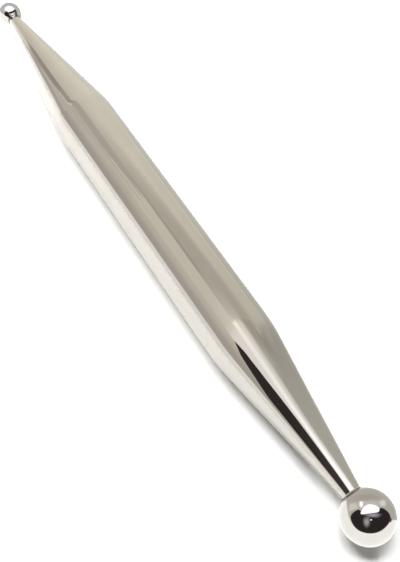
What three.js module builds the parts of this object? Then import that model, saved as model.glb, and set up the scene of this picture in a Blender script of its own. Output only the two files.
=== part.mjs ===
// Double-ended ball modelling tool of polished stainless steel, lying on its side.
//
// A tube forms the grip. A turned cone is plugged into each end of the tube, and a
// drilled ball is pinned and brazed onto the tip of each cone.
//
// Sizes are in millimetres. +X runs along the tool towards the large ball and +Z is up.
// The origin is on the surface that the grip lies on, below the middle of the tool's length.

import * as THREE from 'three';

// Grip
const GRIP_DIAMETER = 12.5;
const GRIP_LENGTH = 60; // from shoulder to shoulder, measured to the sharp corners
const TUBE_WALL = 1;
const TUBE_LEAD_IN = 0.3; // chamfer inside each end of the tube

// Plugs that hold the cones in the tube
const PLUG_LENGTH = 8;
const PLUG_CHAMFER = 0.6;
const PLUG_CLEARANCE = 0.05; // all round, inside the tube
const SEAM_SETBACK = 1; // from the seam between tube and cone to the start of the shoulder's curve

// Cone and ball of the small end
const SMALL_CONE_LENGTH = 34.3;
const SMALL_TIP_DIAMETER = 2.45;
const SMALL_SHOULDER_RADIUS = 14;
const SMALL_BALL_DIAMETER = 5;
const SMALL_PIN_DIAMETER = 1.2;
const SMALL_PIN_IN_CONE = 4;

// Cone and ball of the large end
const LARGE_CONE_LENGTH = 30.5;
const LARGE_TIP_DIAMETER = 3.5;
const LARGE_SHOULDER_RADIUS = 40;
const LARGE_BALL_DIAMETER = 9;
const LARGE_PIN_DIAMETER = 1.8;
const LARGE_PIN_IN_CONE = 6;

// Brazed joint between a ball and the tip of its cone
const BRAZE_THICKNESS = 0.3;
const SEAT_CLEARANCE = 0.1; // round the cone's tip, in the ball's spot face
const PIN_CLEARANCE = 0.05; // round the pin, in both of its holes
const PIN_END_CLEARANCE = 0.3; // beyond each end of the pin
const PIN_PAST_CENTRE = 0.4; // how far the pin passes the centre of the ball
const PIN_CHAMFER = 0.15;
const DRILL_POINT_ANGLE = 118; // degrees, at the bottom of every drilled hole

// Facets round the axis, and steps along the curves
const GRIP_FACETS = 48;
const BALL_FACETS = 40;
const BALL_STEPS = 20;
const SHOULDER_STEPS = 6;

const STEEL = new THREE.MeshStandardMaterial({ color: 0xc6c1b6, metalness: 1, roughness: 0.12 });
const BRAZE = new THREE.MeshStandardMaterial({ color: 0x8c867b, metalness: 1, roughness: 0.4 });

const GRIP_RADIUS = GRIP_DIAMETER / 2;
const BORE_RADIUS = GRIP_RADIUS - TUBE_WALL;
const MIDDLE_TO_SHOULDER = GRIP_LENGTH / 2;

// The depth of the cone that a drill leaves at the bottom of a hole of this radius.
function drillPoint(radius) {
  return radius / Math.tan(THREE.MathUtils.degToRad(DRILL_POINT_ANGLE / 2));
}

// The stations of one end, all measured outwards from the middle of the grip.
function layOut(end) {
  const tipRadius = end.tipDiameter / 2;
  const ballRadius = end.ballDiameter / 2;
  const pinRadius = end.pinDiameter / 2;
  const taper = Math.atan((GRIP_RADIUS - tipRadius) / end.coneLength);
  const curveStart = MIDDLE_TO_SHOULDER - end.shoulderRadius * Math.tan(taper / 2);
  const tip = MIDDLE_TO_SHOULDER + end.coneLength;
  const ballCentre = tip + Math.sqrt(ballRadius ** 2 - tipRadius ** 2);
  return {
    ...end,
    tipRadius,
    ballRadius,
    pinRadius,
    holeRadius: pinRadius + PIN_CLEARANCE,
    taper,
    curveStart,
    seam: curveStart - SEAM_SETBACK,
    tip,
    seat: tip + BRAZE_THICKNESS,
    seatRadius: tipRadius + SEAT_CLEARANCE,
    pinStart: tip - end.pinInCone,
    pinEnd: ballCentre + PIN_PAST_CENTRE,
    ballCentre,
    reach: ballCentre + ballRadius,
  };
}

// A solid turned about the tool's axis. The profile is a list of [distance along the axis, radius],
// with the material on its right-hand side, and direction is 1 or -1 for the large or small end.
// One facet of the turned surface faces straight down, so that the grip lies flat.
function turned(name, profile, direction, facets, material) {
  const points = profile.map(([along, radius]) => new THREE.Vector2(radius, direction * along));
  if (direction < 0) points.reverse();
  const geometry = new THREE.LatheGeometry(points, facets, Math.PI / facets);
  // the lathe turns about Y, so its Y becomes the tool's X
  geometry.applyMatrix4(new THREE.Matrix4().set(0, 1, 0, 0, -1, 0, 0, 0, 0, 0, 1, 0, 0, 0, 0, 1));
  const mesh = new THREE.Mesh(geometry, material);
  mesh.name = name;
  return mesh;
}

// The points of an arc, from one angle to another, with 0 pointing outwards along the axis.
function arc(centreAlong, centreRadius, radius, fromAngle, toAngle, steps) {
  return Array.from({ length: steps + 1 }, (unused, step) => {
    const angle = fromAngle + (step / steps) * (toAngle - fromAngle);
    return [centreAlong + radius * Math.cos(angle), centreRadius + radius * Math.sin(angle)];
  });
}

// The open tube between the two cones.
function gripTube(smallEnd, largeEnd) {
  const start = -smallEnd.seam;
  const end = largeEnd.seam;
  const leadInRadius = BORE_RADIUS + TUBE_LEAD_IN;
  const profile = [
    [start, leadInRadius],
    [start, GRIP_RADIUS],
    [end, GRIP_RADIUS],
    [end, leadInRadius],
    [end - TUBE_LEAD_IN, BORE_RADIUS],
    [start + TUBE_LEAD_IN, BORE_RADIUS],
    [start, leadInRadius],
  ];
  return turned('grip_tube', profile, 1, GRIP_FACETS, STEEL);
}

// A cone with its plug, the curved shoulder, and the hole for the pin in its tip.
function endCone(end) {
  const plugRadius = BORE_RADIUS - PLUG_CLEARANCE;
  const plugStart = end.seam - PLUG_LENGTH;
  const holeBottom = end.pinStart - PIN_END_CLEARANCE;
  const shoulder = arc(
    end.curveStart,
    GRIP_RADIUS - end.shoulderRadius,
    end.shoulderRadius,
    Math.PI / 2,
    Math.PI / 2 - end.taper,
    SHOULDER_STEPS,
  );
  const profile = [
    [plugStart, 0],
    [plugStart, plugRadius - PLUG_CHAMFER],
    [plugStart + PLUG_CHAMFER, plugRadius],
    [end.seam, plugRadius],
    [end.seam, GRIP_RADIUS],
    ...shoulder,
    [end.tip, end.tipRadius],
    [end.tip, end.holeRadius],
    [holeBottom, end.holeRadius],
    [holeBottom - drillPoint(end.holeRadius), 0],
  ];
  return turned(`${end.name}_end_cone`, profile, end.direction, GRIP_FACETS, STEEL);
}

// A ball with a shallow spot face for the cone's tip and a blind hole for the pin.
function ball(end) {
  const holeBottom = end.pinEnd + PIN_END_CLEARANCE;
  const seatAngle = Math.asin(end.seatRadius / end.ballRadius);
  const profile = [
    [holeBottom + drillPoint(end.holeRadius), 0],
    [holeBottom, end.holeRadius],
    [end.seat, end.holeRadius],
    [end.seat, end.seatRadius],
    ...arc(end.ballCentre, 0, end.ballRadius, Math.PI - seatAngle, 0, BALL_STEPS),
  ];
  profile[profile.length - 1][1] = 0;
  return turned(`${end.name}_ball`, profile, end.direction, BALL_FACETS, STEEL);
}

// The dowel pin between a cone and its ball.
function ballPin(end) {
  const profile = [
    [end.pinStart, 0],
    [end.pinStart, end.pinRadius - PIN_CHAMFER],
    [end.pinStart + PIN_CHAMFER, end.pinRadius],
    [end.pinEnd - PIN_CHAMFER, end.pinRadius],
    [end.pinEnd, end.pinRadius - PIN_CHAMFER],
    [end.pinEnd, 0],
  ];
  return turned(`${end.name}_ball_pin`, profile, end.direction, BALL_FACETS, STEEL);
}

// The ring of braze round the pin, between the cone's tip and the ball's spot face.
function ballBraze(end) {
  const profile = [
    [end.tip, end.holeRadius],
    [end.tip, end.tipRadius],
    [end.seat, end.tipRadius],
    [end.seat, end.holeRadius],
    [end.tip, end.holeRadius],
  ];
  return turned(`${end.name}_ball_braze`, profile, end.direction, GRIP_FACETS, BRAZE);
}

const smallEnd = layOut({
  name: 'small',
  direction: -1,
  coneLength: SMALL_CONE_LENGTH,
  tipDiameter: SMALL_TIP_DIAMETER,
  shoulderRadius: SMALL_SHOULDER_RADIUS,
  ballDiameter: SMALL_BALL_DIAMETER,
  pinDiameter: SMALL_PIN_DIAMETER,
  pinInCone: SMALL_PIN_IN_CONE,
});

const largeEnd = layOut({
  name: 'large',
  direction: 1,
  coneLength: LARGE_CONE_LENGTH,
  tipDiameter: LARGE_TIP_DIAMETER,
  shoulderRadius: LARGE_SHOULDER_RADIUS,
  ballDiameter: LARGE_BALL_DIAMETER,
  pinDiameter: LARGE_PIN_DIAMETER,
  pinInCone: LARGE_PIN_IN_CONE,
});

const tool = new THREE.Group();
tool.add(gripTube(smallEnd, largeEnd));
for (const end of [smallEnd, largeEnd]) {
  tool.add(endCone(end), ball(end), ballPin(end), ballBraze(end));
}

// The grip's lowest facet lies on the ground, and the tool's length is centred on the origin.
const axisHeight = GRIP_RADIUS * Math.cos(Math.PI / GRIP_FACETS);
tool.position.set((smallEnd.reach - largeEnd.reach) / 2, 0, axisHeight);

export default tool;
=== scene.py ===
"""The looks of a double-ended ball modelling tool: mirror-polished stainless steel, lying on a white
table under soft lights. Everything is in metres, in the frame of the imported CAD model: +X along the
tool towards the large ball, +Z up. Only the cards that the steel reflects are given in millimetres."""

import math

import bpy
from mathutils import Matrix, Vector


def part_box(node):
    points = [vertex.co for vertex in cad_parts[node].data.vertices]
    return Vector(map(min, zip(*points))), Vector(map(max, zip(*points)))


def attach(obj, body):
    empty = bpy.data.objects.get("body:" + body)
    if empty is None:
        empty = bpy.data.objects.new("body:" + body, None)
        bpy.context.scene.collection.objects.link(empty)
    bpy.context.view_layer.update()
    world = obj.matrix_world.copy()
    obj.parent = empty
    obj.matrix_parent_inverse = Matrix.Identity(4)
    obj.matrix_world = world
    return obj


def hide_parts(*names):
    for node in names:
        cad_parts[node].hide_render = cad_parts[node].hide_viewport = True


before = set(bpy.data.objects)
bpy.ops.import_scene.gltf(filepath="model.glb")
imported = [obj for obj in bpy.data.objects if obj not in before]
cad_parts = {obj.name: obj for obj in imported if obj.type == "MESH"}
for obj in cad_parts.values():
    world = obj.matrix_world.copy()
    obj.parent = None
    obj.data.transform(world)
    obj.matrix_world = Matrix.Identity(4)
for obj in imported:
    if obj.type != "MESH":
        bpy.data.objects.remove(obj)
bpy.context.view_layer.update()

MM = 0.001

# Sizes of the tool that its CAD boxes don't give
ENDS = {
    "small": {
        "direction": -1,
        "cone_length": 34.3 * MM,
        "shoulder_radius": 14 * MM,
        "tip_radius": 1.225 * MM,
        "ball_radius": 2.5 * MM,
        "hole_radius": 0.65 * MM,
    },
    "large": {
        "direction": 1,
        "cone_length": 30.5 * MM,
        "shoulder_radius": 40 * MM,
        "tip_radius": 1.75 * MM,
        "ball_radius": 4.5 * MM,
        "hole_radius": 0.95 * MM,
    },
}
TUBE_WALL = 1 * MM
PLUG_LENGTH = 8 * MM
PLUG_CLEARANCE = 0.05 * MM
SPOT_FACE_DEPTH = 0.3 * MM
SPOT_FACE_CLEARANCE = 0.1 * MM
PIN_DEPTH_IN_CONE = 5 * MM
PIN_DEPTH_IN_BALL = 0.8 * MM  # past the centre of the ball
FILLET_REACH = 0.16 * MM  # how far the braze creeps along the cone and the ball
FILLET_HOLLOW_BACK = 0.02 * MM  # where the curve of the fillet is drawn to, back from the cone's tip
FILLET_HOLLOW_OUT = 0.03 * MM  # and outwards from the tip's edge

# Fineness of the turned meshes
FACETS = 192
STRETCH_STEP = 1 * MM
ARC_STEPS = 24
BALL_STEPS = 72
FILLET_STEPS = 8
SHARP_ANGLE = 30  # degrees between two faces, above which their edge stays sharp
POLE_RADIUS = 1e-9  # a point of a profile that is nearer than this to the axis is a pole

low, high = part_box("grip_tube")
AXIS_HEIGHT = (low.z + high.z) / 2
GRIP_RADIUS = (high.z - low.z) / 2
GRIP_START, GRIP_END = low.x, high.x

# The camera looks at a point on the tool's axis, with no roll
CAMERA_TARGET = Vector((15.14 * MM, 0, AXIS_HEIGHT))
CAMERA_DISTANCE = 127.46 * MM
CAMERA_AZIMUTH = 57.61  # degrees, 0 looks along +Y
CAMERA_ELEVATION = 63.18  # degrees above the table
CAMERA_LENS = 44.06
CAMERA_SENSOR = 36  # along the long side of the picture, in the unit of the lens
CAMERA_NEAR = 1 * MM
CAMERA_FAR = 20

# Finishes of the metals. Each grain is a noise with its own stretch, and says how much it adds to the
# roughness, to the share of the stained colour and, in microns, to the relief.
MICRON = 1e-6
NOISE_RANGE = (0.3, 0.7)  # the part of the raw noise that is spread from 0 to 1
FINISHES = {
    "polished_steel": {
        "clean": (0.596, 0.571, 0.537),
        "stained": (0.565, 0.540, 0.500),
        "roughness": 0.015,
        "grains": [
            # fine polishing lines round the tool
            {"scale": (5200, 90, 90), "detail": 2, "roughness": 0.012, "stain": 0.15, "relief": 0.7},
            # hairlines along it
            {"scale": (150, 4200, 4200), "detail": 2, "roughness": 0.010, "stain": 0.1, "relief": 0.35},
            # the unevenness of hand polishing
            {"scale": (110, 300, 300), "detail": 1, "roughness": 0.0, "stain": 0.0, "relief": 3.0},
            # handling smudges
            {"scale": (190, 240, 240), "detail": 4, "roughness": 0.03, "stain": 0.7, "relief": 0.0},
        ],
    },
    "ball_steel": {
        "clean": (0.594, 0.571, 0.542),
        "stained": (0.560, 0.536, 0.505),
        "roughness": 0.012,
        "grains": [
            # polishing lines, less drawn out than on the grip
            {"scale": (2600, 700, 700), "detail": 2, "roughness": 0.010, "stain": 0.15, "relief": 0.25},
            # the unevenness of hand polishing
            {"scale": (500, 500, 500), "detail": 1, "roughness": 0.0, "stain": 0.0, "relief": 1.0},
            # handling smudges
            {"scale": (420, 420, 420), "detail": 4, "roughness": 0.03, "stain": 0.8, "relief": 0.0},
        ],
    },
    "ground_pin": {
        "clean": (0.40, 0.385, 0.365),
        "stained": (0.30, 0.285, 0.265),
        "roughness": 0.24,
        "grains": [
            # grinding lines round the pin
            {"scale": (9000, 400, 400), "detail": 3, "roughness": 0.12, "stain": 0.5, "relief": 4.0},
            # duller and brighter places
            {"scale": (900, 900, 900), "detail": 3, "roughness": 0.08, "stain": 0.5, "relief": 1.0},
        ],
    },
    "dull_braze": {
        "clean": (0.34, 0.31, 0.26),
        "stained": (0.13, 0.105, 0.085),
        "roughness": 0.32,
        "grains": [
            # the ripple that the melt leaves as it sets
            {"scale": (2500, 1200, 1200), "detail": 3, "roughness": 0.12, "stain": 0.35, "relief": 8.0},
            # flux stains
            {"scale": (700, 700, 700), "detail": 4, "roughness": 0.16, "stain": 0.65, "relief": 2.0},
        ],
    },
}

scene = bpy.context.scene


def make_camera():
    """The camera of the photograph, without depth of field."""
    azimuth = math.radians(CAMERA_AZIMUTH)
    elevation = math.radians(CAMERA_ELEVATION)
    across = math.cos(elevation)
    back = Vector((math.sin(azimuth) * across, -math.cos(azimuth) * across, math.sin(elevation)))
    data = bpy.data.cameras.new("camera")
    data.lens = CAMERA_LENS
    data.sensor_width = CAMERA_SENSOR
    data.sensor_fit = "AUTO"
    data.clip_start = CAMERA_NEAR
    data.clip_end = CAMERA_FAR
    camera = bpy.data.objects.new("camera", data)
    camera.location = CAMERA_TARGET + CAMERA_DISTANCE * back
    camera.rotation_mode = "QUATERNION"
    camera.rotation_quaternion = (-back).to_track_quat("-Z", "Y")
    scene.collection.objects.link(camera)
    scene.camera = camera


def stretch(start, end, step=STRETCH_STEP):
    """Points of a straight stretch of a profile, without its end."""
    count = max(1, math.ceil(math.dist(start, end) / step))
    return [
        (
            start[0] + (end[0] - start[0]) * i / count,
            start[1] + (end[1] - start[1]) * i / count,
        )
        for i in range(count)
    ]


def arc(centre, radius, start, end, steps=ARC_STEPS):
    """Points of an arc of a profile. Angle 0 points outwards along the axis."""
    angles = [start + (end - start) * i / steps for i in range(steps + 1)]
    return [
        (centre[0] + radius * math.cos(a), centre[1] + radius * math.sin(a)) for a in angles
    ]


def turned(name, profile, material, direction=1, closed=False):
    """A mesh turned about the tool's axis. The profile holds (distance along the axis, radius), and
    a point at radius 0 is a pole. A closed profile joins its last point to its first."""
    verts, rings = [], []
    for along, radius in profile:
        if radius < POLE_RADIUS:
            rings.append([len(verts)])
            verts.append((direction * along, 0, AXIS_HEIGHT))
            continue
        rings.append(list(range(len(verts), len(verts) + FACETS)))
        for k in range(FACETS):
            turn = 2 * math.pi * k / FACETS
            verts.append(
                (
                    direction * along,
                    radius * math.sin(turn),
                    AXIS_HEIGHT + radius * math.cos(turn),
                )
            )
    pairs = list(zip(rings, rings[1:]))
    if closed:
        pairs.append((rings[-1], rings[0]))
    faces = []
    for a, b in pairs:
        for k in range(FACETS):
            n = (k + 1) % FACETS
            face = [a[k % len(a)], a[n % len(a)], b[n % len(b)], b[k % len(b)]]
            face = list(dict.fromkeys(face))
            faces.append(face if direction > 0 else face[::-1])
    mesh = bpy.data.meshes.new(name)
    mesh.from_pydata(verts, [], faces)
    mesh.validate()
    mesh.shade_smooth()
    mesh.set_sharp_from_angle(angle=math.radians(SHARP_ANGLE))
    mesh.materials.append(material)
    piece = bpy.data.objects.new(name, mesh)
    scene.collection.objects.link(piece)
    return piece


def lay_out(name):
    """The stations of one end, outwards from the middle of the tool."""
    end = dict(ENDS[name])
    outwards = end["direction"]
    reach = max(outwards * corner.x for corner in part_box(f"{name}_ball"))
    end["centre"] = reach - end["ball_radius"]
    end["tip"] = max(outwards * corner.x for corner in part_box(f"{name}_end_cone"))
    end["seat"] = end["tip"] + SPOT_FACE_DEPTH
    end["seat_radius"] = end["tip_radius"] + SPOT_FACE_CLEARANCE
    end["seam"] = max(outwards * GRIP_START, outwards * GRIP_END)
    corner = end["tip"] - end["cone_length"]
    end["taper"] = math.atan((GRIP_RADIUS - end["tip_radius"]) / end["cone_length"])
    end["curve_start"] = corner - end["shoulder_radius"] * math.tan(end["taper"] / 2)
    return end


def grip(material):
    """The tube with its bore, which the plugs of the two cones close."""
    bore = GRIP_RADIUS - TUBE_WALL
    outside = stretch((GRIP_START, GRIP_RADIUS), (GRIP_END, GRIP_RADIUS))
    profile = outside + [(GRIP_END, GRIP_RADIUS), (GRIP_END, bore), (GRIP_START, bore)]
    piece = turned("polished_grip", profile, material, closed=True)
    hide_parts("grip_tube")
    return piece


def cone(name, material):
    """The cone of one end with its plug, its curved shoulder and the hole for the pin."""
    end = lay_out(name)
    plug_radius = GRIP_RADIUS - TUBE_WALL - PLUG_CLEARANCE
    plug_start = end["seam"] - PLUG_LENGTH
    hole_bottom = end["tip"] - PIN_DEPTH_IN_CONE
    shoulder = arc(
        (end["curve_start"], GRIP_RADIUS - end["shoulder_radius"]),
        end["shoulder_radius"],
        math.pi / 2,
        math.pi / 2 - end["taper"],
    )
    profile = (
        [(plug_start, 0), (plug_start, plug_radius), (end["seam"], plug_radius)]
        + [(end["seam"], GRIP_RADIUS)]
        + shoulder[:-1]
        + stretch(shoulder[-1], (end["tip"], end["tip_radius"]))
        + [(end["tip"], end["tip_radius"]), (end["tip"], end["hole_radius"])]
        + [(hole_bottom, end["hole_radius"]), (hole_bottom, 0)]
    )
    piece = turned(f"polished_{name}_cone", profile, material, end["direction"])
    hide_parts(f"{name}_end_cone")
    return piece


def ball(name, material):
    """The ball of one end with its spot face and the hole for the pin."""
    end = lay_out(name)
    seat_angle = math.asin(end["seat_radius"] / end["ball_radius"])
    hole_bottom = end["centre"] + PIN_DEPTH_IN_BALL
    sphere = arc((end["centre"], 0), end["ball_radius"], math.pi - seat_angle, 0, BALL_STEPS)
    profile = (
        [(hole_bottom, 0), (hole_bottom, end["hole_radius"])]
        + [(end["seat"], end["hole_radius"]), (end["seat"], end["seat_radius"])]
        + sphere[:-1]
        + [(sphere[-1][0], 0)]
    )
    piece = turned(f"polished_{name}_ball", profile, material, end["direction"])
    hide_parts(f"{name}_ball")
    return piece


def braze(name, material):
    """The ring of braze in the spot face, with its hollow fillet between the cone and the ball."""
    end = lay_out(name)
    on_cone = (end["tip"] - FILLET_REACH, end["tip_radius"] + FILLET_REACH * math.tan(end["taper"]))
    ball_angle = math.asin((end["seat_radius"] + FILLET_REACH / 2) / end["ball_radius"])
    on_ball = (
        end["centre"] - end["ball_radius"] * math.cos(ball_angle),
        end["ball_radius"] * math.sin(ball_angle),
    )
    middle = (end["tip"] - FILLET_HOLLOW_BACK, end["tip_radius"] + FILLET_HOLLOW_OUT)
    hollow = [
        tuple(
            (1 - t) ** 2 * a + 2 * t * (1 - t) * m + t**2 * b
            for a, m, b in zip(on_cone, middle, on_ball)
        )
        for t in [i / FILLET_STEPS for i in range(FILLET_STEPS + 1)]
    ]
    profile = (
        [(end["seat"], end["hole_radius"]), (end["tip"], end["hole_radius"])]
        + [(end["tip"], end["tip_radius"])]
        + hollow
        + [(end["seat"], end["seat_radius"])]
    )
    piece = turned(f"{name}_braze_fillet", profile, material, end["direction"], closed=True)
    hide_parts(f"{name}_ball_braze")
    return piece


# The set: a table, a room that is seen behind it, and what only the steel sees, in its reflections.
TABLE_SIZE = 3.0
TABLE_COLOUR = (0.9, 0.9, 0.885)
TABLE_ROUGHNESS = 0.9
TABLE_GLOW = 0.95
TABLE_GLOW_RADII = (0.2, 0.68)  # from where the glow starts to where it is full
ROOM_COLOUR = (0.93, 0.93, 0.92)

# A tone is the grey, from 0 to 255, that the steel shows where it reflects a glowing sheet. A tint is
# the share of that light that each channel has.
REFLECTANCE = 0.57  # of the steel
WHITE = (1.0, 1.0, 0.97)
WARM = (1.045, 1.0, 0.875)
GREY = (1.01, 1.0, 0.92)
BLACK = (1.2, 1.0, 1.0)
BROWN = (1.07, 1.0, 0.92)
PURPLE = (1.02, 0.87, 1.22)
BALL = (1.015, 1.0, 0.93)
RING = (0.985, 1.0, 0.99)
GLARE = (0.975, 1.0, 1.06)
PINK = (1.02, 1.0, 0.985)
CREAM = (1.04, 1.0, 0.88)

# Soft lights, all at one distance and of one size: the direction that each comes from, in degrees,
# and its power in watts
LIGHT_DISTANCE = 0.6
LIGHT_SIZE = 0.12
LIGHTS = {
    "over_light": {"azimuth": 120, "elevation": 80, "power": 1.07},
    "top_light": {"azimuth": 180, "elevation": 80, "power": 1.76},
    "end_light": {"azimuth": 210, "elevation": 70, "power": 1.87},
    "low_light": {"azimuth": 130, "elevation": 35, "power": 1.2},
    "front_light": {"azimuth": 300, "elevation": 55, "power": 0.55},
}

# A small low light that fills the shadow of the small ball
FILL_PLACE = Vector((-77, -12, 12)) * MM
FILL_TARGET = Vector((-65, 0, 0)) * MM
FILL_SIZE = 12 * MM
FILL_POWER = 0.0042

# The dome round everything, from a little below the table up to the zenith
DOME_RADIUS = 1.2
DOME_LOWEST = -10  # degrees above the table
DOME_HIGHEST = 90
DOME_COLUMNS = 72
DOME_ROWS = 24
DOME_TONE = 177
# How much the tone changes round these directions, which are in degrees
DOME_SIDES = (
    {"azimuth": 145, "width": 48, "change": 21},
    {"azimuth": 212, "width": 34, "change": -11},
    {"azimuth": 208, "width": 9, "change": 48},
)

# Where the cards stand, hang or lie, in millimetres. Cards that overlap are kept a little apart, and
# the one nearer to the tool hides the other.
EDGE_Y = -60
BAND_Y = -61
NEAR_Y = -30
CEILING = 400
SHEET_HEIGHT = 0.4
STREAK_HEIGHT = 200
RIGHT_CARD_Y = 14
RIGHT_WALL_Y = 230


def level(points, height):
    """The corners of a card that lies level, from their x and y."""
    return [(x, y, height) for x, y in points]


def upright(points, y):
    """The corners of a card that stands along the tool, from their x and z."""
    return [(x, y, z) for x, z in points]


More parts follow.
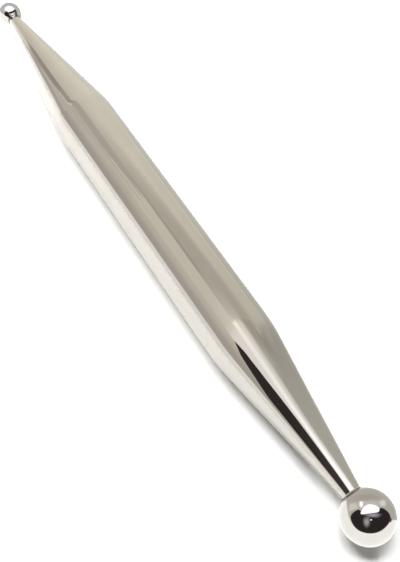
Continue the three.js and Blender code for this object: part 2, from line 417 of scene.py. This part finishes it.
# Cards are glowing sheets with their corners in millimetres. Each edge fades over its own width, the
# first being the one from the first corner to the second. The tone runs from the first to the second
# between the two x in "ramp", and a card without a ramp has one tone.
CARDS = {
    # the white edge of the table, low down on the left and past the large ball
    "low_edge": {
        "corners": upright([(-88, 0), (15, 0), (15, 23), (-88, 19)], EDGE_Y),
        "fades": [12, 0, 1, 1],
        "tones": (216, 207),
        "ramp": (-40, 5),
        "tint": WHITE,
    },
    "low_edge_right": {
        "corners": upright([(15, 0), (128, 0), (128, 27), (15, 22.5)], EDGE_Y),
        "fades": [12, 0, 1, 0],
        "tones": (207, 222),
        "ramp": (20, 66),
        "tint": WHITE,
    },
    "low_edge_far": {
        "corners": upright([(-150, 0), (-88, 0), (-88, 15.5), (-150, 21)], EDGE_Y),
        "fades": [6, 0, 9, 0],
        "tones": (232, 218),
        "ramp": (-150, -100),
        "tint": WHITE,
    },
    "low_edge_end": {
        "corners": upright([(-420, 0), (-150, 0), (-150, 21), (-420, 80)], EDGE_Y),
        "fades": [0, 0, 9, 10],
        "tones": (236, 232),
        "ramp": (-190, -150),
        "tint": WHITE,
    },
    "low_edge_near": {
        "corners": [(128, EDGE_Y, 0), (128, 60, 0), (128, 60, 14), (128, EDGE_Y, 27)],
        "fades": [0, 1, 2, 0],
        "tones": (226, 226),
        "tint": WHITE,
    },
    # the grey band above that edge
    "band": {
        "corners": upright([(-118, 13), (128, 13), (128, 78), (-90, 68)], BAND_Y),
        "fades": [0, 10, 38, 6],
        "tones": (152, 187),
        "ramp": (42, 80),
        "tint": BROWN,
    },
    "band_far": {
        "corners": upright([(-175, 10), (-95, 10), (-95, 36), (-175, 36)], BAND_Y - 0.2),
        "fades": [0, 0, 8, 30],
        "tones": (154, 154),
        "tint": BROWN,
    },
    # a haze above the band, on the side of the small ball
    "far_haze": {
        "corners": upright([(-178, 20), (-78, 20), (-78, 185), (-178, 185)], BAND_Y - 0.5),
        "fades": [10, 25, 35, 22],
        "tones": (170, 170),
        "tint": BROWN,
    },
    # the dark wedge beside the large cone
    "wedge": {
        "corners": upright(
            [(23, 50), (35.5, 31), (43, 21), (90, 19), (90, 135), (45, 68)], NEAR_Y
        ),
        "fades": [0.5, 0.5, 1.5, 0.5, 0.5, 1],
        "tones": (40, 52),
        "ramp": (52, 72),
        "tint": BLACK,
    },
    # the soft light overhead, with its tongue towards the grip
    "overhead_glow": {
        "corners": level([(-150, -320), (340, -320), (340, 200), (-150, 200)], CEILING + 1),
        "fades": [60, 20, 170, 130],
        "tones": (213, 213),
        "tint": PINK,
    },
    "overhead": {
        "corners": level([(62, -100), (340, -100), (340, 420), (165, 420)], CEILING),
        "fades": [70, 20, 100, 60],
        "tones": (258, 258),
        "tint": GLARE,
    },
    "overhead_tongue": {
        "corners": level([(-50, -95), (160, -95), (160, 55), (-50, 45)], CEILING + 0.5),
        "fades": [50, 40, 34, 75],
        "tones": (230, 235),
        "ramp": (40, 95),
        "tint": PINK,
    },
    "overhead_tip": {
        "corners": level([(-104, -80), (50, -70), (50, 25), (-104, 50)], CEILING + 0.3),
        "fades": [45, 75, 35, 26],
        "tones": (234, 234),
        "tint": CREAM,
    },
    # the ceiling beside it, darker and lighter by parts
    "ceiling_dim": {
        "corners": level([(-110, 95), (55, 95), (55, 420), (-110, 420)], CEILING + 0.8),
        "fades": [110, 25, 40, 30],
        "tones": (149, 149),
        "tint": WARM,
    },
    "ceiling_lift": {
        "corners": level([(-330, -320), (-90, -320), (-90, -25), (-330, -25)], CEILING + 2),
        "fades": [70, 0, 8, 70],
        "tones": (183, 183),
        "tint": WARM,
    },
    "ceiling_core": {
        "corners": level([(-300, -22), (-135, -22), (-135, 70), (-300, 20)], CEILING + 2.5),
        "fades": [10, 30, 60, 50],
        "tones": (146, 146),
        "tint": WARM,
    },
    "ceiling_shade": {
        "corners": level(
            [(-390, -26), (-92, -26), (-40, 330), (-30, 800), (-400, 800)], CEILING + 3
        ),
        "fades": [12, 30, 30, 100, 200],
        "tones": (160, 160),
        "tint": WARM,
    },
    # the dark streak at the small end, with its start on a card nearer to the tool
    "streak_end": {
        "corners": level(
            [(-640, -265), (-560, -255), (-500, -228), (-425, -172), (-345, -55), (-458, -98)],
            STREAK_HEIGHT,
        ),
        "fades": [10, 10, 10, 0, 15, 10],
        "tones": (136, 136),
        "tint": BROWN,
    },
    "streak_middle": {
        "corners": level([(-440, -180), (-262, -84), (-240, -14), (-345, -55)], STREAK_HEIGHT),
        "fades": [15, 0, 12, 0],
        "tones": (147, 147),
        "tint": BROWN,
    },
    "streak_start": {
        "corners": level(
            [(-270, -84), (-192, -112), (-110, -32), (-140, 14), (-262, -2)], STREAK_HEIGHT
        ),
        "fades": [8, 8, 8, 15, 0],
        "tones": (158, 158),
        "tint": BROWN,
    },
    "streak_near": {
        "corners": upright(
            [(-110, 25), (-96, 22), (-99, 33), (-172, 80), (-190, 80)], NEAR_Y
        ),
        "fades": [2, 5, 6, 15, 1],
        "tones": (137, 147),
        "ramp": (-140, -108),
        "tint": BROWN,
    },
    # the grey card on the right of the large cone
    "right_card": {
        "corners": upright(
            [(70, 0), (26, 0), (26, 27), (35, 50), (52, 50), (66, 24)], RIGHT_CARD_Y
        ),
        "fades": [0, 5, 14, 12, 6, 2],
        "tones": (149, 162),
        "ramp": (36, 58),
        "tint": GREY,
    },
    "right_card_shade": {
        "corners": upright([(27.5, 13), (39, 16), (38, 32), (27.5, 32)], RIGHT_CARD_Y - 0.1),
        "fades": [6, 6, 8, 5],
        "tones": (141, 141),
        "tint": GREY,
    },
    # tones of the table close to the tool, a painted shadow of the tool on its left, and the wall on
    # the right
    "right_sheet": {
        "corners": level([(-300, 7), (200, 7), (200, 240), (-300, 240)], SHEET_HEIGHT),
        "fades": [5, 0, 0, 0],
        "tones": (192, 163),
        "ramp": (-70, 45),
        "tint": GREY,
    },
    "right_sheet_edge": {
        "corners": level([(-120, -1), (100, 3), (100, 18), (-120, 14)], SHEET_HEIGHT + 0.2),
        "fades": [3, 0, 6, 20],
        "tones": (172, 167),
        "ramp": (-75, -42),
        "tint": GREY,
    },
    "right_sheet_light": {
        "corners": level([(22, 4), (48, 4), (48, 12), (22, 12)], SHEET_HEIGHT + 0.3),
        "fades": [2, 6, 4, 6],
        "tones": (200, 200),
        "tint": GREY,
    },
    # a painted shadow: a darker sheet, seen only in the steel, where the tool's shadow lies on the
    # table along its left side
    "painted_left_shadow": {
        "corners": level([(-48, -12.5), (66, -10), (66, -3), (-48, -3)], SHEET_HEIGHT - 0.05),
        "fades": [4, 3, 0, 22],
        "tones": (207, 170),
        "ramp": (20, 52),
        "tint": WHITE,
    },
    "right_sheet_shade": {
        "corners": level([(-50, 14), (100, 14), (100, 60), (-50, 60)], SHEET_HEIGHT + 0.1),
        "fades": [5, 0, 30, 30],
        "tones": (175, 154),
        "ramp": (-15, 45),
        "tint": GREY,
    },
    "right_wall": {
        "corners": upright([(300, 0), (-700, 0), (-700, 280), (300, 280)], RIGHT_WALL_Y),
        "fades": [0, 0, 190, 0],
        "tones": (200, 172),
        "ramp": (-300, 10),
        "tint": WARM,
    },
}

# Patches are glowing too, each a part of a shell close round a ball. The outline is in degrees
# (azimuth, elevation) and is drawn as a smooth curve. Reach is in radii of the ball, and fade is the
# share of the way from the rim to the middle over which the patch fades.
SHELL_STEPS = 6  # of the rim, from one point of the outline to the next
SHELL_RINGS = 20  # from the middle to the rim
BACK_GLOW = [(92, 6), (120, 13), (150, 16), (178, 13), (176, 2), (148, 0), (118, -2)]
BACK_SHADE = [
    (78, -10), (110, -4), (148, 2), (186, -2), (196, -10), (180, -15), (148, -14), (110, -17),
]
PATCHES = {
    # the large ball: the grey of the room, a bright ring round it, and the dark middle with its light
    "large_sky": {
        "ball": "large",
        "outline": [
            (-157, 14), (-137, 27), (-113, 32), (-89, 35), (-66, 40), (-42, 45), (-13, 48),
            (20, 48), (38, 42), (46, 24), (50, 0), (58, -22), (80, -13), (105, -2), (130, 4),
            (155, 5), (180, 1),
        ],
        "fade": 0.09,
        "reach": 1.074,
        "tone": 166,
        "tint": BALL,
    },
    "large_sky_glow": {
        "ball": "large",
        "outline": [
            (-141, 37), (-156, 40), (162, 58), (100, 49), (79, 51), (81, 70), (176, 74), (-138, 60),
        ],
        "fade": 0.8,
        "reach": 1.072,
        "tone": 186,
        "tint": BALL,
    },
    "large_ring": {
        "ball": "large",
        "outline": [
            (-157, 24), (-113, 38), (-66, 44), (-13, 50), (35, 48), (66, 30), (72, -10),
            (40, -35), (-10, -45), (-60, -45), (-110, -40), (-150, -15),
        ],
        "fade": 0.04,
        "reach": 1.078,
        "tone": 235,
        "tint": RING,
    },
    "large_band": {
        "ball": "large",
        "outline": [
            (-160, 22), (-176, 32), (158, 42), (119, 44), (102, 50), (120, 62), (172, 66),
            (-158, 48),
        ],
        "fade": 0.85,
        "reach": 1.070,
        "tone": 156,
        "tint": BROWN,
    },
    "large_pale_left": {
        "ball": "large",
        "outline": [(-151, 29), (-161, 48), (-146, 61), (-136, 56), (-130, 44), (-126, 34)],
        "fade": 0.6,
        "reach": 1.070,
        "tone": 198,
        "tint": BALL,
    },
    "large_pale_right": {
        "ball": "large",
        "outline": [(117, 56), (100, 38), (80, 53), (88, 69), (112, 69)],
        "fade": 0.8,
        "reach": 1.070,
        "tone": 210,
        "tint": WHITE,
    },
    "large_dark": {
        "ball": "large",
        "outline": [
            (-137, 57), (-115, 38), (-76, 39), (-22, 49), (46, 47), (85, 66), (76, 82), (-120, 83),
            (-121, 68),
        ],
        "fade": 0.05,
        "reach": 1.066,
        "tone": 36,
        "tint": BLACK,
    },
    "large_small_dark": {
        "ball": "large",
        "outline": [(46, 53), (46, 44), (34, 43), (31, 51)],
        "fade": 0.5,
        "reach": 1.063,
        "tone": 60,
        "tint": BLACK,
    },
    "large_white": {
        "ball": "large",
        "outline": [
            (-117, 64), (-137, 65), (-163, 68), (166, 71), (115, 73), (88, 74), (66, 80), (-112, 83),
        ],
        "fade": 0.07,
        "reach": 1.058,
        "tone": 262,
        "tint": GLARE,
    },
    "large_sheen": {
        "ball": "large",
        "outline": [
            (-112, 66), (-122, 74), (-125, 87), (64, 79), (49, 69), (14, 75), (-64, 78), (-97, 72),
        ],
        "fade": 0.9,
        "reach": 1.062,
        "tone": 158,
        "tint": PURPLE,
    },
    "large_gleam": {
        "ball": "large",
        "outline": [(-106, 68), (-100, 80), (-61, 77), (-50, 64), (-58, 54), (-72, 54), (-90, 60)],
        "fade": 0.95,
        "reach": 1.061,
        "tone": 152,
        "tint": PINK,
    },
    "large_cream": {
        "ball": "large",
        "outline": [(-167, 52), (-178, 59), (-154, 67), (-143, 61)],
        "fade": 0.6,
        "reach": 1.058,
        "tone": 258,
        "tint": WHITE,
    },
    "large_spark": {
        "ball": "large",
        "outline": [(-66, 74), (-58, 73), (-49, 75), (-56, 77)],
        "fade": 0.5,
        "reach": 1.054,
        "tone": 262,
        "tint": WHITE,
    },
    # its back, which would look flat without them
    "large_back_glow": {
        "ball": "large",
        "outline": BACK_GLOW,
        "fade": 0.9,
        "reach": 1.068,
        "tone": 222,
        "tint": WHITE,
    },
    "large_back_shade": {
        "ball": "large",
        "outline": BACK_SHADE,
        "fade": 0.9,
        "reach": 1.066,
        "tone": 120,
        "tint": BROWN,
    },
    # the small ball: the same parts, in a simpler form
    "small_sky": {
        "ball": "small",
        "outline": [
            (-157, 10), (-120, 24), (-80, 32), (-45, 36), (-15, 36), (10, 36), (32, 30), (44, 6),
            (56, -23), (80, -13), (105, -2), (130, 4), (155, 5), (180, 1),
        ],
        "fade": 0.12,
        "reach": 1.060,
        "tone": 178,
        "tint": RING,
    },
    "small_ring": {
        "ball": "small",
        "outline": [
            (-157, 18), (-113, 32), (-75, 38), (-42, 34), (-29, 6), (-28, -28), (-62, -45),
            (-110, -40), (-150, -15),
        ],
        "fade": 0.04,
        "reach": 1.064,
        "tone": 246,
        "tint": RING,
    },
    "small_back_glow": {
        "ball": "small",
        "outline": BACK_GLOW,
        "fade": 0.9,
        "reach": 1.056,
        "tone": 222,
        "tint": WHITE,
    },
    "small_back_shade": {
        "ball": "small",
        "outline": BACK_SHADE,
        "fade": 0.9,
        "reach": 1.054,
        "tone": 120,
        "tint": BROWN,
    },
    "small_white": {
        "ball": "small",
        "outline": [(-68, 56), (-90, 72), (62, 82), (55, 60), (42, 45), (15, 45), (-20, 48)],
        "fade": 0.25,
        "reach": 1.050,
        "tone": 262,
        "tint": GLARE,
    },
    "small_dark_left": {
        "ball": "small",
        "outline": [(-43, 57), (-58, 44), (-53, 32), (-36, 27), (-23, 19), (-17, 24), (-23, 48)],
        "fade": 0.15,
        "reach": 1.046,
        "tone": 34,
        "tint": BLACK,
    },
    "small_dark_bar": {
        "ball": "small",
        "outline": [(-24, 50), (11, 50), (42, 47), (40, 36), (14, 40), (-16, 41)],
        "fade": 0.15,
        "reach": 1.042,
        "tone": 44,
        "tint": BLACK,
    },
    "small_dark_end": {
        "ball": "small",
        "outline": [(43, 46), (38, 32), (21, 19), (17, 28), (24, 38)],
        "fade": 0.3,
        "reach": 1.038,
        "tone": 60,
        "tint": BLACK,
    },
    "small_spot": {
        "ball": "small",
        "outline": [(-8, 40), (13, 36), (13, 14), (-6, 12), (-14, 26)],
        "fade": 0.25,
        "reach": 1.034,
        "tone": 262,
        "tint": GLARE,
    },
}


# Sockets of a Mix node that mixes two colours
MIX_FACTOR = 0
MIX_FIRST = 6
MIX_SECOND = 7
MIX_RESULT = 2


def towards(azimuth, elevation):
    """A direction of length 1, from degrees. Azimuth 0 is along +X and 90 along +Y."""
    azimuth = math.radians(azimuth)
    elevation = math.radians(elevation)
    across = math.cos(elevation)
    return Vector((across * math.cos(azimuth), across * math.sin(azimuth), math.sin(elevation)))


def radiance(tone, tint):
    """The light that a card sends out, for the tone that it shows in the steel."""
    # from the tone to linear light, by the sRGB curve
    value = tone / 255
    linear = value / 12.92 if value <= 0.04045 else ((value + 0.055) / 1.055) ** 2.4
    return [linear / REFLECTANCE * channel for channel in tint]


def eased(nodes, links, name, kind):
    """A value that the points of the mesh hold, kept between 0 and 1."""
    attribute = nodes.new("ShaderNodeAttribute")
    attribute.attribute_name = name
    ease = nodes.new("ShaderNodeMapRange")
    ease.interpolation_type = kind
    links.new(attribute.outputs["Fac"], ease.inputs["Value"])
    return ease.outputs["Result"]


def glow_material():
    """The glow of all cards and patches, clear where their cover is 0."""
    material = bpy.data.materials.new("card_glow")
    material.use_nodes = True
    nodes = material.node_tree.nodes
    links = material.node_tree.links
    nodes.clear()
    output = nodes.new("ShaderNodeOutputMaterial")
    mix = nodes.new("ShaderNodeMixShader")
    clear = nodes.new("ShaderNodeBsdfTransparent")
    emission = nodes.new("ShaderNodeEmission")
    blend = nodes.new("ShaderNodeMix")
    blend.data_type = "RGBA"
    for name, socket in (("glow", MIX_FIRST), ("glow_end", MIX_SECOND)):
        colour = nodes.new("ShaderNodeAttribute")
        colour.attribute_name = name
        links.new(colour.outputs["Color"], blend.inputs[socket])
    links.new(eased(nodes, links, "ramp", "LINEAR"), blend.inputs[MIX_FACTOR])
    links.new(blend.outputs[MIX_RESULT], emission.inputs["Color"])
    links.new(eased(nodes, links, "cover", "SMOOTHSTEP"), mix.inputs["Fac"])
    links.new(clear.outputs["BSDF"], mix.inputs[1])
    links.new(emission.outputs["Emission"], mix.inputs[2])
    links.new(mix.outputs["Shader"], output.inputs["Surface"])
    material.cycles.emission_sampling = "NONE"
    return material


card_glow = glow_material()


def stage_mesh(name, verts, faces, covers, glows, glow_ends, ramps):
    """A glowing sheet that only reflections see, with a value of each kind for every point."""
    mesh = bpy.data.meshes.new(name)
    mesh.from_pydata(verts, [], faces)
    for key, values in (("cover", covers), ("ramp", ramps)):
        layer = mesh.attributes.new(key, "FLOAT", "POINT")
        layer.data.foreach_set("value", values)
    for key, colours in (("glow", glows), ("glow_end", glow_ends)):
        layer = mesh.attributes.new(key, "FLOAT_COLOR", "POINT")
        layer.data.foreach_set("color", [c for colour in colours for c in (*colour, 1)])
    mesh.materials.append(card_glow)
    sheet = bpy.data.objects.new(name, mesh)
    sheet.visible_camera = False
    sheet.visible_diffuse = False
    sheet.visible_shadow = False
    scene.collection.objects.link(sheet)


def inner_corners(corners, fades):
    """The corners of a flat convex sheet after each edge has moved in by its own fade."""
    normal = (corners[1] - corners[0]).cross(corners[2] - corners[0]).normalized()
    inner = []
    for i, corner in enumerate(corners):
        before = (corner - corners[i - 1]).normalized()
        after = (corners[(i + 1) % len(corners)] - corner).normalized()
        in_before = normal.cross(before)
        in_after = normal.cross(after)
        # the point whose distances from the two edges at this corner are their fades
        bend = in_before.dot(in_after)
        a = (fades[i - 1] - bend * fades[i]) / (1 - bend * bend)
        b = (fades[i] - bend * fades[i - 1]) / (1 - bend * bend)
        inner.append(corner + a * in_before + b * in_after)
    return inner


def make_card(name, card):
    """A flat sheet that fades from its inner corners to its outer ones."""
    outer = [Vector(corner) * MM for corner in card["corners"]]
    verts = outer + inner_corners(outer, [fade * MM for fade in card["fades"]])
    count = len(outer)
    faces = [tuple(range(count, 2 * count))]
    faces += [(i, (i + 1) % count, count + (i + 1) % count, count + i) for i in range(count)]
    covers = [0.0] * count + [1.0] * count
    start, end = card.get("ramp", (0, 1))
    ramps = [(vert.x / MM - start) / (end - start) for vert in verts]
    glows = [[radiance(tone, card["tint"])] * len(verts) for tone in card["tones"]]
    stage_mesh(name, verts, faces, covers, glows[0], glows[1], ramps)


def make_patch(name, patch):
    """A patch of rings that grow from the middle of the outline to its rim."""
    end = lay_out(patch["ball"])
    centre = Vector((end["direction"] * end["centre"], 0, AXIS_HEIGHT))
    radius = patch["reach"] * end["ball_radius"]
    knots = [towards(*knot) for knot in patch["outline"]]
    middle = sum(knots, Vector()).normalized()
    rim = []
    for i in range(len(knots)):
        # from b to c, on a curve that also heeds the points before and after them
        a, b, c, d = (knots[(i + k - 1) % len(knots)] for k in range(4))
        for step in range(SHELL_STEPS):
            t = step / SHELL_STEPS
            bow = (2 * a - 5 * b + 4 * c - d) * t**2 + (3 * b - a - 3 * c + d) * t**3
            rim.append((2 * b + (c - a) * t + bow).normalized())
    shares = [(ring + 1) / SHELL_RINGS for ring in range(SHELL_RINGS)] + [1 - patch["fade"]]
    shares.sort()
    verts = [centre + radius * middle]
    covers = [1 / patch["fade"]]
    for share in shares:
        verts += [centre + radius * middle.slerp(point, share) for point in rim]
        covers += [(1 - share) / patch["fade"]] * len(rim)
    count = len(rim)
    faces = [(0, 1 + k, 1 + (k + 1) % count) for k in range(count)]
    for ring in range(len(shares) - 1):
        inner = 1 + ring * count
        outer = inner + count
        faces += [
            (inner + k, outer + k, outer + (k + 1) % count, inner + (k + 1) % count)
            for k in range(count)
        ]
    glows = [radiance(patch["tone"], patch["tint"])] * len(verts)
    stage_mesh(name, verts, faces, covers, glows, glows, [0.0] * len(verts))


def make_dome():
    """The dome, whose tone is warm and changes towards its sides."""
    verts, faces, glows = [], [], []
    for row in range(DOME_ROWS + 1):
        for column in range(DOME_COLUMNS):
            azimuth = 360 * column / DOME_COLUMNS
            elevation = DOME_LOWEST + (DOME_HIGHEST - DOME_LOWEST) * row / DOME_ROWS
            verts.append(DOME_RADIUS * towards(azimuth, elevation))
            tone = DOME_TONE
            for side in DOME_SIDES:
                share = math.exp(-(((azimuth - side["azimuth"]) / side["width"]) ** 2))
                tone += side["change"] * share * math.cos(math.radians(elevation))
            glows.append(radiance(tone, WARM))
    for row in range(DOME_ROWS):
        for column in range(DOME_COLUMNS):
            a = row * DOME_COLUMNS + column
            b = row * DOME_COLUMNS + (column + 1) % DOME_COLUMNS
            faces.append((a, b, b + DOME_COLUMNS, a + DOME_COLUMNS))
    stage_mesh("dome", verts, faces, [1.0] * len(verts), glows, glows, [0.0] * len(verts))


def make_table(material):
    """The flat table that the grip lies on."""
    half = TABLE_SIZE / 2
    corners = [(-half, -half, 0), (half, -half, 0), (half, half, 0), (-half, half, 0)]
    mesh = bpy.data.meshes.new("table")
    mesh.from_pydata(corners, [], [(0, 1, 2, 3)])
    mesh.materials.append(material)
    table = bpy.data.objects.new("table", mesh)
    scene.collection.objects.link(table)


def make_world():
    """A pale room that only the camera sees. The dome and cards take its place in reflections."""
    world = bpy.data.worlds.new("room")
    world.use_nodes = True
    world.node_tree.nodes["Background"].inputs["Color"].default_value = (*ROOM_COLOUR, 1)
    world.cycles_visibility.diffuse = False
    world.cycles_visibility.glossy = False
    scene.world = world


def make_light(name, place, target, size, power):
    """A round soft light that neither the camera nor the steel sees."""
    data = bpy.data.lights.new(name, "AREA")
    data.shape = "DISK"
    data.size = size
    data.energy = power
    lamp = bpy.data.objects.new(name, data)
    lamp.location = place
    lamp.rotation_mode = "QUATERNION"
    lamp.rotation_quaternion = (target - place).to_track_quat("-Z", "Y")
    lamp.visible_glossy = False
    lamp.visible_camera = False
    scene.collection.objects.link(lamp)


def new_material(name):
    """A material with one Principled shader, and that shader."""
    material = bpy.data.materials.new(name)
    material.use_nodes = True
    nodes = material.node_tree.nodes
    nodes.clear()
    output = nodes.new("ShaderNodeOutputMaterial")
    shader = nodes.new("ShaderNodeBsdfPrincipled")
    material.node_tree.links.new(shader.outputs["BSDF"], output.inputs["Surface"])
    return material, shader


def grain(nodes, links, scale, detail):
    """Noise from 0 to 1. The scale is in repeats per metre: along the tool, sideways and up."""
    place = nodes.new("ShaderNodeTexCoord")
    mapping = nodes.new("ShaderNodeMapping")
    mapping.inputs["Scale"].default_value = scale
    noise = nodes.new("ShaderNodeTexNoise")
    noise.inputs["Scale"].default_value = 1
    noise.inputs["Detail"].default_value = detail
    spread = nodes.new("ShaderNodeMapRange")
    spread.inputs["From Min"].default_value = NOISE_RANGE[0]
    spread.inputs["From Max"].default_value = NOISE_RANGE[1]
    links.new(place.outputs["Object"], mapping.inputs["Vector"])
    links.new(mapping.outputs["Vector"], noise.inputs["Vector"])
    links.new(noise.outputs["Fac"], spread.inputs["Value"])
    return spread.outputs["Result"]


def weighted(nodes, links, base, values, weights):
    """The base plus each value times its weight."""
    total = None
    for value, weight in zip(values, weights):
        node = nodes.new("ShaderNodeMath")
        node.operation = "MULTIPLY_ADD"
        links.new(value, node.inputs[0])
        node.inputs[1].default_value = weight
        if total is None:
            node.inputs[2].default_value = base
        else:
            links.new(total, node.inputs[2])
        total = node.outputs[0]
    return total


def metal(name, finish):
    """A metal whose colour, roughness and relief come from the grains of its finish."""
    material, shader = new_material(name)
    nodes = material.node_tree.nodes
    links = material.node_tree.links
    grains = finish["grains"]
    values = [grain(nodes, links, g["scale"], g["detail"]) for g in grains]
    rough = weighted(nodes, links, finish["roughness"], values, [g["roughness"] for g in grains])
    stain = weighted(nodes, links, 0, values, [g["stain"] for g in grains])
    relief = weighted(nodes, links, 0, values, [g["relief"] for g in grains])
    colour = nodes.new("ShaderNodeMix")
    colour.data_type = "RGBA"
    colour.inputs[MIX_FIRST].default_value = (*finish["clean"], 1)
    colour.inputs[MIX_SECOND].default_value = (*finish["stained"], 1)
    bump = nodes.new("ShaderNodeBump")
    bump.inputs["Distance"].default_value = MICRON
    links.new(stain, colour.inputs[MIX_FACTOR])
    links.new(relief, bump.inputs["Height"])
    links.new(colour.outputs[MIX_RESULT], shader.inputs["Base Color"])
    links.new(rough, shader.inputs["Roughness"])
    links.new(bump.outputs["Normal"], shader.inputs["Normal"])
    shader.inputs["Metallic"].default_value = 1
    return material


def table_paint():
    """Matt white. Beyond the lights' reach it glows a little, so that the table is pale all over."""
    material, shader = new_material("white_table")
    nodes = material.node_tree.nodes
    links = material.node_tree.links
    place = nodes.new("ShaderNodeTexCoord")
    distance = nodes.new("ShaderNodeVectorMath")
    distance.operation = "LENGTH"
    glow = nodes.new("ShaderNodeMapRange")
    glow.interpolation_type = "SMOOTHSTEP"
    glow.inputs["From Min"].default_value = TABLE_GLOW_RADII[0]
    glow.inputs["From Max"].default_value = TABLE_GLOW_RADII[1]
    glow.inputs["To Max"].default_value = TABLE_GLOW
    links.new(place.outputs["Object"], distance.inputs[0])
    links.new(distance.outputs["Value"], glow.inputs["Value"])
    links.new(glow.outputs["Result"], shader.inputs["Emission Strength"])
    shader.inputs["Emission Color"].default_value = (*ROOM_COLOUR, 1)
    shader.inputs["Base Color"].default_value = (*TABLE_COLOUR, 1)
    shader.inputs["Roughness"].default_value = TABLE_ROUGHNESS
    shader.inputs["Specular IOR Level"].default_value = 0
    return material


make_camera()
make_table(table_paint())
make_world()
for name, light in LIGHTS.items():
    place = LIGHT_DISTANCE * towards(light["azimuth"], light["elevation"])
    make_light(name, place, Vector(), LIGHT_SIZE, light["power"])
make_light("fill_light", FILL_PLACE, FILL_TARGET, FILL_SIZE, FILL_POWER)
make_dome()
for name, card in CARDS.items():
    make_card(name, card)
for name, patch in PATCHES.items():
    make_patch(name, patch)

metals = {name: metal(name, finish) for name, finish in FINISHES.items()}

pieces = {"polished_steel": [grip(metals["polished_steel"])], "ball_steel": [], "braze": []}
for name in ENDS:
    pieces["polished_steel"].append(cone(name, metals["polished_steel"]))
    pieces["ball_steel"].append(ball(name, metals["ball_steel"]))
    pieces["braze"].append(braze(name, metals["dull_braze"]))
for slot, group in pieces.items():
    for piece in group:
        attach(piece, "root")

for name in ENDS:
    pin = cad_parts[f"{name}_ball_pin"]
    for holder in pin.material_slots:
        holder.material = metals["ground_pin"]

scene.view_settings.view_transform = "Standard"
